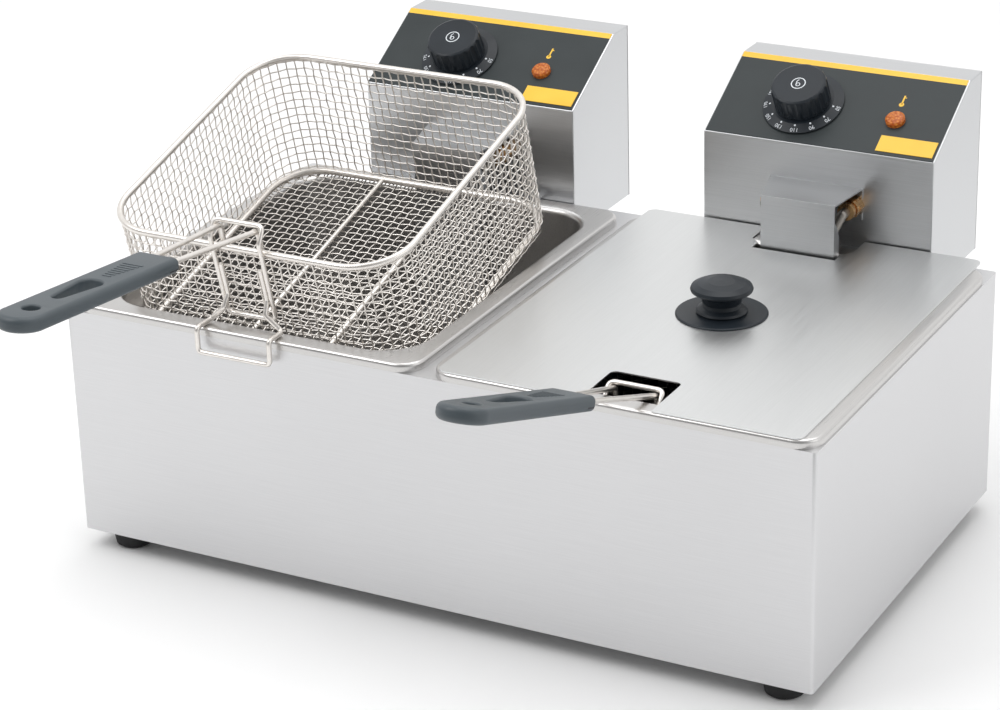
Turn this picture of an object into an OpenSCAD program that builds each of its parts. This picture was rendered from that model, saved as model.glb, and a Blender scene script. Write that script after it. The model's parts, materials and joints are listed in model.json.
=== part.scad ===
// Twin-tank countertop deep fryer: one body, two lift-out tanks, two lift-off
// control heads with heating elements, two wire baskets and one notched lid.
// Millimetres, +Z up, +Y towards the back, origin at the centre of the base.

/* [Body] */
// Outside width of the body
body_w = 550; // [545:1:620]
// Outside depth of the body, front face to rear face
body_d = 322; // [320:1:345]
// Height of the body without its feet
body_h = 166; // [150:1:200]
// Sheet thickness of the body
body_t = 1.0; // [0.8:0.1:1.5]
// Height of each rubber foot
foot_h = 14; // [8:1:30]
// Foot centre, in from the sides
foot_in_x = 27; // [22:1:60]
// Foot centre, in from the front and rear
foot_in_y = 20; // [18:1:60]

/* [Tanks] */
// Distance between the two tank centres
tank_pitch = 277; // [274:1:279]
// How far the pair of tanks sits right of the body's centre
tank_shift = 2; // [0:0.5:2]
// Outside width of a tank flange
flange_w = 267; // [262:1:269]
// Outside depth of a tank flange
flange_d = 309; // [300:1:312]
// Inside width of a tank
well_w = 236; // [234:1:240]
// Inside depth of a tank, front to back
well_d = 277; // [276:1:280]
// Corner radius of a tank wall
well_r = 32; // [20:1:36]
// Depth of a tank below its flange
well_h = 150; // [136:1:152]

/* [Baskets] */
// Outside width over the rim wire
basket_w = 228; // [222:1:229]
// Outside length over the rim wire
basket_l = 229; // [215:1:230]
// Height from the rim wire to the bottom mesh
basket_h = 100; // [90:1:101]
// Corner radius over the rim wire
basket_r = 40; // [36:1:48]
// Nose-down tilt of the left basket, hung up to drain
hang_tilt = 14.9; // [12:0.5:16]
// Height of the hung basket's rim centre above the body's base
hang_z = 258; // [254:1:262]
// Distance of the hung basket's centre behind the body's front face
hang_y = 117; // [115:1:119]
// Distance of the seated basket's centre behind the body's front face
seat_y = 138; // [137:1:141]
// Height of the seated basket's rim above the body's base
seat_z = 155.5; // [155.5:0.5:157]

/* [Handles] */
// Rise of a basket handle above the plane of the rim
handle_rise = 20.8; // [20:0.2:23]
// Rise of the seated basket's handle, whose wires rest on the tank's rim
seat_rise = 19.2; // [19.2:0.2:20.8]
// Distance from the hooked wire ends to the grip
handle_reach = 91; // [80:1:100]
// Length of the moulded grip
grip_l = 158; // [130:1:170]
// Width of the moulded grip
grip_w = 32; // [28:1:36]
// Thickness of the moulded grip
grip_t = 10; // [8:0.5:12]

/* [Control heads] */
// Outside width of a control head
head_w = 172.8; // [170:0.2:180]
// Depth of a control head
head_d = 92; // [88:1:110]
// Height of the head's front face above the body's top
head_front = 71.6; // [68:0.2:80]
// Height of the head's top above the body's top
head_top = 110.3; // [106:0.1:120]
// Drop of the head behind the body
head_drop = 24; // [10:1:40]
// Depth of the flat strip on top of the head
head_strip = 23; // [18:1:28]
// Distance of the knob left of the head's centre
knob_x = 23.4; // [20:0.2:30]
// Distance of the lamp right of the head's centre
lamp_x = 47; // [44:0.5:52]

/* [Lid] */
// Lid width
lid_w = 252; // [248:1:256]
// Lid depth
lid_d = 320; // [316:1:320]
// Lid sheet thickness
lid_t = 1.0; // [0.8:0.1:2]
// Width of the notch for the basket handle
notch_w = 49; // [46:1:60]
// Depth of the notch for the basket handle
notch_d = 46; // [44:1:50]

/* [Hidden] */
$fn = 64;
eps = 0.01;
tank_l_x = tank_shift - tank_pitch / 2;
tank_r_x = tank_shift + tank_pitch / 2;
tank_y = flange_d / 2;
flange_z = body_h + 6;
sheet = 1.2;
rim_d = 4.5;
wire_d = 3.5;
handle_d = 3.8;
rod_d = 7;
head_y = body_d + 1;
head_back = head_y + head_d;
slant_run = head_d - head_strip;
slant_rise = head_top - head_front;
slant = atan2(slant_rise, slant_run);
slant_l = sqrt(slant_run * slant_run + slant_rise * slant_rise);
head_z0 = body_h - head_drop;
nut_dx = 29;
nut_z = body_h + 33;
riser_y = 288.5;
gland_z = head_z0 + 26;
gland_dx = -48;
// Hooked wire ends, measured from the centre of the basket's rim plane
pivot_y = -(basket_l / 2 - 6.5);
pivot_z = 14;
hook_x = 28;
// The whole object is centred front to back on the hung grip and the cable glands
tip = handle_reach + grip_l;
hang_pivot_y = hang_y + pivot_y * cos(hang_tilt) - pivot_z * sin(hang_tilt);
hang_rise = handle_rise - hang_tilt;
y_front = hang_pivot_y - tip * cos(hang_rise) - grip_t / 2 * sin(hang_rise);
gland_l = 15;
y_back = head_back + 1 + gland_l;
y_mid = (y_front + y_back) / 2;

steel = [0.80, 0.81, 0.82];
dark_steel = [0.62, 0.62, 0.63];
nickel = [0.86, 0.83, 0.80];
grey_plastic = [0.34, 0.39, 0.43];
black = [0.06, 0.06, 0.07];

// ---- frames ----
module place() {
  translate([0, -y_mid, foot_h]) children();
}

module hung() {
  place()
    translate([tank_l_x + 0.5, hang_y, hang_z])
      rotate([hang_tilt, 0, 0]) children();
}

module seated() {
  place() translate([tank_r_x, seat_y, seat_z]) children();
}

module at_wire_ends(rise) {
  translate([0, pivot_y, pivot_z]) rotate([-rise, 0, 0]) children();
}

// x across the slanted face, y up along it, z out of it
module on_slant(cx) {
  place()
    translate([cx, head_y, body_h + head_front])
      rotate([slant, 0, 0]) children();
}

// ---- shapes ----
module rrect(w, d, r) {
  square([w - 2 * r, d], center = true);
  square([w, d - 2 * r], center = true);
  for (sx = [-1, 1], sy = [-1, 1])
    translate([sx * (w / 2 - r), sy * (d / 2 - r)]) circle(r = r);
}

module ring2d(w, d, r, t) {
  difference() {
    rrect(w, d, r);
    rrect(w - 2 * t, d - 2 * t, r - t);
  }
}

// Closed rounded-rectangle wire about its centre line
module wire_ring(w, d, r, dia) {
  for (s = [-1, 1]) {
    translate([s * w / 2, 0, 0]) rotate([90, 0, 0])
      cylinder(h = d - 2 * r, d = dia, center = true);
    translate([0, s * d / 2, 0]) rotate([0, 90, 0])
      cylinder(h = w - 2 * r, d = dia, center = true);
  }
  for (k = [0 : 3])
    rotate([0, 0, 90 * k])
      translate([(k % 2 == 0 ? w : d) / 2 - r, (k % 2 == 0 ? d : w) / 2 - r, 0])
        rotate_extrude(angle = 90) translate([r, 0]) circle(d = dia, $fn = 32);
}

function unit(v) = v / norm(v);
function square_on(v) = max([for (k = v) abs(k)]) > 0.999999;

// Matrix whose columns are the three axes of a bend and its centre
function frame_of(x, y, z, o) = [
  [x[0], y[0], z[0], o[0]],
  [x[1], y[1], z[1], o[1]],
  [x[2], y[2], z[2], o[2]],
  [0, 0, 0, 1]];

module rod_between(a, b, dia) {
  v = b - a;
  translate(a)
    rotate([0, acos(v[2] / norm(v)), atan2(v[1], v[0])])
      cylinder(h = norm(v), d = dia, $fn = 32);
}

// Round wire through a list of points. A bend between two runs square to the
// axes is an arc of radius r, any other is a bead a shade fatter than the wire.
module bent_wire(pts, dia, r) {
  n = len(pts);
  us = [for (i = [0 : n - 2]) unit(pts[i + 1] - pts[i])];
  arcs = [for (i = [0 : n - 1])
    i > 0 && i < n - 1 && square_on(us[i - 1]) && square_on(us[i])];
  for (i = [0 : n - 2])
    rod_between(pts[i] + us[i] * (arcs[i] ? r : 0),
      pts[i + 1] - us[i] * (arcs[i + 1] ? r : 0), dia);
  for (i = [1 : n - 2]) {
    if (arcs[i]) {
      z = cross(us[i - 1], us[i]);
      x = cross(us[i - 1], z);
      centre = pts[i] - us[i - 1] * r - x * r;
      multmatrix(frame_of(x, cross(z, x), z, centre))
        rotate_extrude(angle = 90) translate([r, 0]) circle(d = dia, $fn = 32);
    } else {
      translate(pts[i]) sphere(d = dia + 0.1, $fn = 32);
    }
  }
}

// ---- body ----
module body_shell() {
  slot_w = 124;
  color(steel) place() translate([0, body_d / 2, 0]) difference() {
    linear_extrude(body_h) rrect(body_w, body_d, 2.5);
    translate([0, 0, -1]) linear_extrude(body_h - body_t + 1)
      rrect(body_w - 2 * body_t, body_d - 2 * body_t, 1.5);
    for (cx = [tank_l_x, tank_r_x]) {
      translate([cx, tank_y - body_d / 2, body_h - 5]) linear_extrude(10)
        rrect(well_w + 4.8, well_d + 4.8, well_r + 2.4);
      translate([cx - slot_w / 2, body_d / 2 - 10.5, body_h - 5])
        cube([slot_w, 4, 10]);
    }
    // louvres low in the rear wall
    for (k = [-5 : 5])
      translate([k * 24 - 8, body_d / 2 - 3, 30]) cube([16, 6, 4]);
  }
}

module base_plate() {
  w = body_w - 2 * body_t - 0.6;
  d = body_d - 2 * body_t - 0.6;
  color(dark_steel) place() translate([0, body_d / 2, 0]) difference() {
    union() {
      linear_extrude(1.2) rrect(w, d, 1.5);
      // turned-up edge
      linear_extrude(12) ring2d(w, d, 1.5, 1.2);
    }
    for (sx = [-1, 1], sy = [-1, 1])
      translate([sx * (body_w / 2 - foot_in_x), sy * (body_d / 2 - foot_in_y), -1])
        cylinder(h = 4, r = 2.6);
    for (k = [-6 : 6])
      translate([k * 32 - 2, -50, -1]) cube([4, 100, 4]);
  }
}

module each_foot() {
  for (sx = [-1, 1], sy = [-1, 1])
    place()
      translate([sx * (body_w / 2 - foot_in_x),
        body_d / 2 + sy * (body_d / 2 - foot_in_y), -foot_h]) children();
}

module feet() {
  color(black) each_foot() rotate_extrude() polygon([
    [2.7, 4.5], [6, 4.5], [6, 0], [11, 0], [13, 1.5],
    [15, foot_h - 2], [15, foot_h], [2.7, foot_h]]);
}

module foot_screws() {
  color(steel) each_foot() {
    translate([0, 0, 1.8]) cylinder(h = 2.6, r = 4.6);
    translate([0, 0, 4.3]) cylinder(h = foot_h + 3, r = 2.5);
    translate([0, 0, foot_h + 1.3]) cylinder(h = 3.6, r = 4.4, $fn = 6);
  }
}

// ---- tanks ----
module tank(cx) {
  floor_z = flange_z - well_h;
  color(steel) place() translate([cx, tank_y, 0]) {
    // flange and its turned-down lip
    translate([0, 0, flange_z - sheet]) linear_extrude(sheet) difference() {
      rrect(flange_w, flange_d, 16);
      rrect(well_w, well_d, well_r);
    }
    translate([0, 0, body_h]) linear_extrude(flange_z - body_h)
      ring2d(flange_w, flange_d, 16, sheet);
    // wall
    translate([0, 0, floor_z]) linear_extrude(well_h - sheet + eps)
      ring2d(well_w + 2 * sheet, well_d + 2 * sheet, well_r + sheet, sheet);
    // floor
    translate([0, 0, floor_z - sheet]) linear_extrude(sheet + eps)
      rrect(well_w + 2 * sheet, well_d + 2 * sheet, well_r + sheet);
  }
}
module tank_l() { tank(tank_l_x); }
module tank_r() { tank(tank_r_x); }

// ---- baskets, about the centre of the rim plane ----
module basket_mesh() {
  t = 1.2;
  w = basket_w - rim_d + t;
  l = basket_l - rim_d + t;
  r = basket_r - rim_d / 2 + t / 2;
  color(nickel) difference() {
    translate([0, 0, -basket_h]) linear_extrude(basket_h - rim_d / 2 - 0.1)
      rrect(w, l, r);
    translate([0, 0, -basket_h + t]) linear_extrude(basket_h)
      rrect(w - 2 * t, l - 2 * t, r - t);
  }
}
module basket_mesh_l() { hung() basket_mesh(); }
module basket_mesh_r() { seated() basket_mesh(); }

module basket_frame() {
  leg_x = 18.8;
  leg_y = -(basket_l / 2 + wire_d / 2 - 0.5);
  bar_y = pivot_y + 1.2;
  bar_z = pivot_z + 3.55;
  color(nickel) {
    wire_ring(basket_w - rim_d, basket_l - rim_d, basket_r - rim_d / 2, rim_d);
    // base ring, just inside the mesh
    translate([0, 0, -basket_h + 4])
      wire_ring(basket_w - rim_d - 6.4, basket_l - rim_d - 6.4,
        basket_r - rim_d / 2 - 3.2, 5);
    // runners along the base ring, above the bottom mesh
    for (s = [-1, 1])
      translate([s * 31, 0, -basket_h + 4.2]) rotate([90, 0, 0])
        cylinder(h = basket_l - rim_d - 6.4, d = wire_d, center = true);
    // front bracket with its raised crossbar
    bent_wire([[-leg_x, leg_y, -52], [-leg_x, leg_y, 9], [-leg_x, bar_y, bar_z],
      [leg_x, bar_y, bar_z], [leg_x, leg_y, 9], [leg_x, leg_y, -52]], wire_d, 4);
    // foot of the bracket
    translate([0, leg_y, -52]) rotate([0, 90, 0])
      cylinder(h = 2 * leg_x + wire_d, d = wire_d, center = true);
  }
}
module basket_frame_l() { hung() basket_frame(); }
module basket_frame_r() { seated() basket_frame(); }

// A point on the raised basket, as depth and height in the body's frame
function hung_point(y, z) = [
  hang_y + y * cos(hang_tilt) - z * sin(hang_tilt),
  hang_z + y * sin(hang_tilt) + z * cos(hang_tilt)];

// Hook that holds the raised basket on the tank's front rim. Its wires run
// beside the bracket legs, then step forward and out round them.
module drain_hook_l() {
  beside = 15.2;
  leg_y = -(basket_l / 2 + wire_d / 2 - 0.5);
  top = hung_point(leg_y, -12);
  low = hung_point(leg_y, -36);
  step = [low[0] - 5, low[1] - 9];
  over_z = flange_z + wire_d / 2 + 0.4;
  down_z = body_h - 9;
  color(nickel) place() translate([tank_l_x + 0.5, 0, 0])
    bent_wire([
      [-beside, top[0], top[1]], [-beside, low[0], low[1]],
      [-beside - 1, step[0], step[1]], [-hook_x, 11, over_z],
      [-hook_x, -6.5, over_z], [-hook_x, -6.5, down_z],
      [hook_x, -6.5, down_z], [hook_x, -6.5, over_z],
      [hook_x, 11, over_z], [beside + 1, step[0], step[1]],
      [beside, low[0], low[1]], [beside, top[0], top[1]]], wire_d, 4);
}

// ---- handles, about the hooked wire ends ----
module handle_wires() {
  drop = 19;
  into = handle_reach + 22;
  color(nickel) for (s = [-1, 1])
    bent_wire([[s * 7.5, -into, 0], [s * 8.5, -handle_reach + 4, 0], [s * 14.5, 0, 0],
      [s * 14.5, drop * sin(handle_rise), -drop * cos(handle_rise)]], handle_d, 4.5);
}
module handle_wires_l() { hung() at_wire_ends(handle_rise) handle_wires(); }
module handle_wires_r() { seated() at_wire_ends(seat_rise) handle_wires(); }

module grip_plan() {
  r = grip_w / 2;
  difference() {
    union() {
      translate([0, -tip + r]) circle(r = r);
      translate([-r, -tip + r]) square([grip_w, grip_l - r - 3]);
      translate([-r + 3, -handle_reach - 3 - eps]) square([grip_w - 6, 3 + eps]);
      for (s = [-1, 1])
        translate([s * (r - 3), -handle_reach - 3]) circle(r = 3);
    }
    // hanging hole and tapered finger slot
    translate([0, -tip + 24]) circle(r = 5.5);
    translate([0, -tip + 50.5]) circle(r = 3.5);
    translate([0, -tip + 83]) circle(r = 8);
    polygon([[-3.4, -tip + 50.2], [3.4, -tip + 50.2], [7.9, -tip + 82], [-7.9, -tip + 82]]);
  }
}

module handle_grip() {
  color(grey_plastic) difference() {
    translate([0, 0, -grip_t / 2]) linear_extrude(grip_t) grip_plan();
    for (s = [-1, 1])
      rod_between([s * 7.3, -handle_reach - 26, 0], [s * 8.5, -handle_reach + 4, 0],
        handle_d + 0.1);
    // split at the wire end and moulded grip lines
    translate([-grip_w, -handle_reach - 12, -grip_t / 2 + 2.6]) cube([2 * grip_w, 20, 0.9]);
    for (k = [0 : 7]) {
      rib = 3 + 0.6 * k;
      translate([-rib, -handle_reach - 58 + 4 * k, grip_t / 2 - 0.7]) cube([2 * rib, 1.6, 2]);
    }
  }
}
module handle_grip_l() { hung() at_wire_ends(handle_rise) handle_grip(); }
module handle_grip_r() { seated() at_wire_ends(seat_rise) handle_grip(); }

// ---- lid ----
lid_x = tank_r_x - 1.5;
lid_y = 1;

module lid_plate() {
  rear = lid_y + lid_d;
  color(steel) place() difference() {
    translate([lid_x, lid_y + lid_d / 2, flange_z]) linear_extrude(lid_t)
      rrect(lid_w, lid_d, 6);
    // front notch for the handle
    translate([tank_r_x, lid_y + notch_d / 2 - 5, flange_z - 1]) linear_extrude(4)
      rrect(notch_w, notch_d + 10, 4);
    // rear notch round the element cover, wider beside the rods and nuts
    translate([tank_r_x, 0, flange_z - 1]) linear_extrude(4) polygon([
      [-30, 280], [32, 280], [32, 292], [38, 299], [38, rear + 5],
      [-37, rear + 5], [-37, 297], [-30, 290]]);
    translate([tank_r_x, 161.5, flange_z - 1]) cylinder(h = 4, r = 2.6);
  }
}

module lid_disc() {
  color(black) place() translate([tank_r_x, 161.5, flange_z + lid_t])
    rotate_extrude() polygon([[2.6, 0], [31, 0], [31, 0.7], [30.2, 1.4], [2.6, 1.4]]);
}

module lid_knob() {
  color(black) place() translate([tank_r_x, 161.5, flange_z + lid_t + 1.4])
    rotate_extrude() difference() {
      union() {
        polygon([[0, 0], [16.5, 0], [17.2, 1.2], [16.4, 2.6], [13.4, 4.5], [12.9, 7],
          [14.2, 11.5], [16.6, 14.2], [20.6, 15.4], [21, 16.6], [20.2, 18.4],
          [16, 20.4], [9, 21.7], [0, 22.1]]);
      }
      translate([0, -1]) square([2.2, 13]);
    }
}

module lid_screw() {
  color(steel) place() translate([tank_r_x, 161.5, flange_z - 2.2]) {
    cylinder(h = 2.2, r = 4.5);
    cylinder(h = 14, r = 2.1);
  }
}

// ---- control heads ----
module head_side(inset) {
  i = inset;
  polygon([
    [head_y + i, head_z0 + i], [head_y + i, body_h + head_front - i * 0.6],
    [head_y + slant_run + i * 0.3, body_h + head_top - i],
    [head_back + (i > 0 ? 5 : 0), body_h + head_top - i],
    [head_back + (i > 0 ? 5 : 0), head_z0 + i]]);
}

// Side profile in y and z, extruded across the head
module across(cx, w) {
  place() translate([cx - w / 2, 0, 0]) rotate([90, 0, 90]) linear_extrude(w) children();
}

module back_screw_points(cx) {
  for (sx = [-1, 1], z = [head_z0 + 9, body_h + head_top - 9])
    place() translate([cx + sx * (head_w / 2 - 7), head_back, z]) children();
}

module head_housing(cx) {
  color(steel) difference() {
    union() {
      difference() {
        across(cx, head_w) head_side(0);
        across(cx, head_w - 2) head_side(1);
      }
      // tabs the back cover screws to
      for (sx = [-1, 1])
        place() translate([cx + sx * (head_w / 2 - 7) - 6.5, head_back - 1.5, head_z0 + 0.5])
          cube([13, 1.5, body_h + head_top - head_z0 - 1]);
    }
    back_screw_points(cx) rotate([90, 0, 0]) cylinder(h = 6, r = 1.6, center = true);
    on_slant(cx) {
      translate([-knob_x, 36.5, -6]) cylinder(h = 12, r = 5);
      translate([lamp_x, 32.5, -6]) cylinder(h = 12, r = 5.6);
    }
    for (s = [-1, 1])
      place() translate([cx + s * nut_dx, head_y - 2, nut_z]) rotate([-90, 0, 0])
        cylinder(h = 6, r = 5);
    for (s = [-1, 1])
      place() translate([cx + s * 8, head_y - 2, nut_z - 4]) rotate([-90, 0, 0])
        cylinder(h = 6, r = 1.6);
  }
}
module head_housing_l() { head_housing(tank_l_x); }
module head_housing_r() { head_housing(tank_r_x); }

module head_back(cx) {
  color(steel) difference() {
    place() translate([cx - head_w / 2, head_back, head_z0])
      cube([head_w, 1, body_h + head_top - head_z0]);
    back_screw_points(cx) rotate([90, 0, 0]) cylinder(h = 6, r = 2.1, center = true);
    place() translate([cx + gland_dx, head_back - 3, gland_z]) rotate([-90, 0, 0])
      cylinder(h = 8, r = 8);
    place() translate([cx + 48, head_back - 3, gland_z]) rotate([-90, 0, 0])
      cylinder(h = 8, r = 4);
    for (k = [0 : 5])
      place() translate([cx - 30, head_back - 2, head_z0 + 74 + 7 * k]) cube([60, 4, 3]);
  }
}
module head_back_l() { head_back(tank_l_x); }
module head_back_r() { head_back(tank_r_x); }

module back_screws(cx) {
  color(dark_steel) back_screw_points(cx) rotate([90, 0, 0]) {
    translate([0, 0, -3.2]) cylinder(h = 2.2, r = 3.4);
    translate([0, 0, -1]) cylinder(h = 7, r = 1.5);
  }
}
module back_screws_l() { back_screws(tank_l_x); }
module back_screws_r() { back_screws(tank_r_x); }

// Plate under the head that drops into the slot in the body's top
module head_hanger(cx) {
  color(steel) place() {
    translate([cx - 60, body_d - 9, body_h]) cube([120, 10, 1.5]);
    translate([cx - 60, body_d - 9, body_h - 20]) cube([120, 1.5, 20 + eps]);
  }
}
module head_hanger_l() { head_hanger(tank_l_x); }
module head_hanger_r() { head_hanger(tank_r_x); }

module control_panel(cx) {
  color([0.31, 0.34, 0.36]) on_slant(cx) difference() {
    translate([-head_w / 2 + 1.2, 0.6, 0]) cube([head_w - 2.4, slant_l - 6.2, 0.6]);
    translate([-knob_x, 36.5, -1]) cylinder(h = 4, r = 5);
    translate([lamp_x, 32.5, -1]) cylinder(h = 4, r = 5.6);
  }
}
module control_panel_l() { control_panel(tank_l_x); }
module control_panel_r() { control_panel(tank_r_x); }

module panel_stripe(cx) {
  color([0.97, 0.80, 0.20]) on_slant(cx)
    translate([-head_w / 2 + 1.2, slant_l - 5.6, 0]) cube([head_w - 2.4, 5, 0.6]);
}
module panel_stripe_l() { panel_stripe(tank_l_x); }
module panel_stripe_r() { panel_stripe(tank_r_x); }

module blank_plate(cx) {
  color([0.97, 0.80, 0.20]) on_slant(cx) translate([42, 3.4, 0.6]) cube([41.6, 14.4, 0.4]);
}
module blank_plate_l() { blank_plate(tank_l_x); }
module blank_plate_r() { blank_plate(tank_r_x); }

module at_knob(cx) {
  on_slant(cx) translate([-knob_x, 36.5, 0]) children();
}

module knob(cx) {
  color(black) at_knob(cx) difference() {
    rotate_extrude() polygon([
      [3.05, 4.4], [20, 4.4], [20, 19.4], [19.3, 21], [17.8, 21.8], [0, 21.8], [0, 18],
      [3.05, 18]]);
    // finger flutes round the cap
    for (k = [0 : 17])
      rotate([0, 0, 20 * k]) translate([23.2, 0, 6]) cylinder(h = 30, r = 4);
  }
}
module knob_l() { knob(tank_l_x); }
module knob_r() { knob(tank_r_x); }

module dial_skirt(cx) {
  color(black) at_knob(cx) rotate_extrude()
    polygon([[3.6, 1.2], [28.4, 1.2], [29.2, 2], [22.5, 4.3], [3.6, 4.3]]);
}
module dial_skirt_l() { dial_skirt(tank_l_x); }
module dial_skirt_r() { dial_skirt(tank_r_x); }

module dial_shaft(cx) {
  color(steel) at_knob(cx) translate([0, 0, -14]) cylinder(h = 32, r = 3);
}
module dial_shaft_l() { dial_shaft(tank_l_x); }
module dial_shaft_r() { dial_shaft(tank_r_x); }

module lamp(cx) {
  color([0.85, 0.45, 0.12]) on_slant(cx) translate([lamp_x, 32.5, 0]) {
    translate([0, 0, 0.6]) rotate_extrude()
      polygon([[0, 0], [7, 0], [7, 2.6], [5.8, 3.8], [0, 4.4]]);
    translate([0, 0, -24]) cylinder(h = 24.7, r = 5.2);
  }
}
module lamp_l() { lamp(tank_l_x); }
module lamp_r() { lamp(tank_r_x); }

module thermostat(cx) {
  color([0.75, 0.72, 0.65]) at_knob(cx) difference() {
    union() {
      translate([-19, -19, -30]) cube([38, 38, 26]);
      translate([0, 0, -5]) cylinder(h = 3.9, r = 7);
    }
    translate([0, 0, -14.5]) cylinder(h = 20, r = 3.05);
  }
}
module thermostat_l() { thermostat(tank_l_x); }
module thermostat_r() { thermostat(tank_r_x); }

module limit_switch(cx) {
  color([0.15, 0.15, 0.16]) place() translate([cx + 48, head_back, gland_z]) {
    translate([-12, -31, -12]) cube([24, 28, 24]);
    translate([0, -3.5, 0]) rotate([-90, 0, 0]) cylinder(h = 8, r = 3.4);
  }
}
module limit_switch_l() { limit_switch(tank_l_x); }
module limit_switch_r() { limit_switch(tank_r_x); }

module terminal_block(cx) {
  color([0.85, 0.83, 0.76]) place() translate([cx - 30, head_y + 22, head_z0 + 1])
    difference() {
      cube([60, 22, 16]);
      for (k = [0 : 4]) translate([4 + 11 * k, 6, 9]) cube([8, 10, 10]);
    }
}
module terminal_block_l() { terminal_block(tank_l_x); }
module terminal_block_r() { terminal_block(tank_r_x); }

module cable_gland(cx) {
  color(black) place() translate([cx + gland_dx, head_back + 1, gland_z])
    rotate([-90, 0, 0]) difference() {
      union() {
        translate([0, 0, -14]) cylinder(h = 14.1, r = 7.8);
        translate([0, 0, -6]) cylinder(h = 4, r = 11, $fn = 6);
        cylinder(h = 5, r = 11, $fn = 6);
        translate([0, 0, 5 - eps]) cylinder(h = gland_l - 5 + eps, r1 = 9.6, r2 = 7.4);
      }
      translate([0, 0, -20]) cylinder(h = 50, r = 4.5);
    }
}
module cable_gland_l() { cable_gland(tank_l_x); }
module cable_gland_r() { cable_gland(tank_r_x); }

// ---- heating elements ----
module element(cx) {
  z = flange_z - 136;
  a = 20;
  b = 58;
  c = 94;
  color([0.55, 0.56, 0.55]) place() translate([cx, 0, 0])
    bent_wire([
      [nut_dx, head_y + 16, nut_z], [nut_dx, 300, nut_z], [a, riser_y, nut_z - 22],
      [a, riser_y, z], [a, 62, z], [b, 62, z], [b, 262, z], [c, 262, z], [c, 44, z],
      [-c, 44, z], [-c, 262, z], [-b, 262, z], [-b, 62, z], [-a, 62, z],
      [-a, riser_y, z], [-a, riser_y, nut_z - 22], [-nut_dx, 300, nut_z],
      [-nut_dx, head_y + 16, nut_z]], rod_d, 9);
}
module element_l() { element(tank_l_x); }
module element_r() { element(tank_r_x); }

module element_nuts(cx) {
  color([0.80, 0.56, 0.36]) for (s = [-1, 1])
    place() translate([cx + s * nut_dx, head_y, nut_z]) rotate([90, 0, 0]) difference() {
      union() {
        cylinder(h = 7, r = 7.6, $fn = 6);
        translate([0, 0, 7 - eps]) cylinder(h = 4, r = 6.6);
        translate([0, 0, 11 - eps]) cylinder(h = 2, r = 5.4);
        translate([0, 0, 13 - eps]) cylinder(h = 4, r = 6.2);
      }
      translate([0, 0, -1]) cylinder(h = 30, d = rod_d + 0.1);
    }
}
module element_nuts_l() { element_nuts(tank_l_x); }
module element_nuts_r() { element_nuts(tank_r_x); }

module sensor_bulbs(cx) {
  color(steel) for (s = [-1, 1])
    place() translate([cx + s * 8, 0, 0]) {
      bent_wire([[0, head_y + 12, nut_z - 4], [0, riser_y, nut_z - 4],
        [0, riser_y, 136]], 2.4, 6);
      translate([0, riser_y, 58]) cylinder(h = 78 + eps, r = 3);
    }
}
module sensor_bulbs_l() { sensor_bulbs(tank_l_x); }
module sensor_bulbs_r() { sensor_bulbs(tank_r_x); }

module element_cover(cx) {
  top = body_h + 45.5;
  front = 283;
  t = 1.2;
  low = 66;
  color(steel) place() translate([cx, 0, 0]) {
    // back plate round the nuts
    difference() {
      translate([-35, head_y - 1.2, top - 23]) cube([70, 1.2, 23]);
      for (s = [-1, 1])
        translate([s * nut_dx, head_y - 5, nut_z]) rotate([-90, 0, 0])
          cylinder(h = 10, r = 7.8);
      for (s = [-1, 1])
        translate([s * 8, head_y - 5, nut_z - 4]) rotate([-90, 0, 0])
          cylinder(h = 10, r = 1.6);
    }
    // top plate, narrower at the front
    translate([0, 0, top - t]) linear_extrude(t) polygon([
      [-25, front], [30, front], [34.5, head_y - 0.5], [-35, head_y - 0.5]]);
    // front plate and its side returns
    translate([-25, front, low]) cube([55, t, top - low]);
    translate([30 - t, 0, 0]) rotate([90, 0, 90]) linear_extrude(t) polygon([
      [front, low], [front + 9, low], [front + 9, body_h + 20], [front + 6, body_h + 27],
      [front, body_h + 34]]);
    // the left return stops low, clear of the rod running in from its nut
    translate([-25, 0, 0]) rotate([90, 0, 90]) linear_extrude(t) polygon([
      [front, low], [front + 9, low], [front + 9, 140], [front, 150]]);
  }
}
module element_cover_l() { element_cover(tank_l_x); }
module element_cover_r() { element_cover(tank_r_x); }

body_shell();
base_plate();
feet();
foot_screws();
tank_l();
tank_r();
basket_mesh_l();
basket_mesh_r();
basket_frame_l();
basket_frame_r();
drain_hook_l();
handle_wires_l();
handle_wires_r();
handle_grip_l();
handle_grip_r();
lid_plate();
lid_disc();
lid_knob();
lid_screw();
head_housing_l();
head_housing_r();
head_back_l();
head_back_r();
back_screws_l();
back_screws_r();
head_hanger_l();
head_hanger_r();
control_panel_l();
control_panel_r();
panel_stripe_l();
panel_stripe_r();
blank_plate_l();
blank_plate_r();
knob_l();
knob_r();
dial_skirt_l();
dial_skirt_r();
dial_shaft_l();
dial_shaft_r();
lamp_l();
lamp_r();
thermostat_l();
thermostat_r();
limit_switch_l();
limit_switch_r();
terminal_block_l();
terminal_block_r();
cable_gland_l();
cable_gland_r();
element_l();
element_r();
element_nuts_l();
element_nuts_r();
sensor_bulbs_l();
sensor_bulbs_r();
element_cover_l();
element_cover_r();
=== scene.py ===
import json
import math

import bmesh
import bpy
from mathutils import Matrix, Vector
from mathutils.geometry import tessellate_polygon


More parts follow.
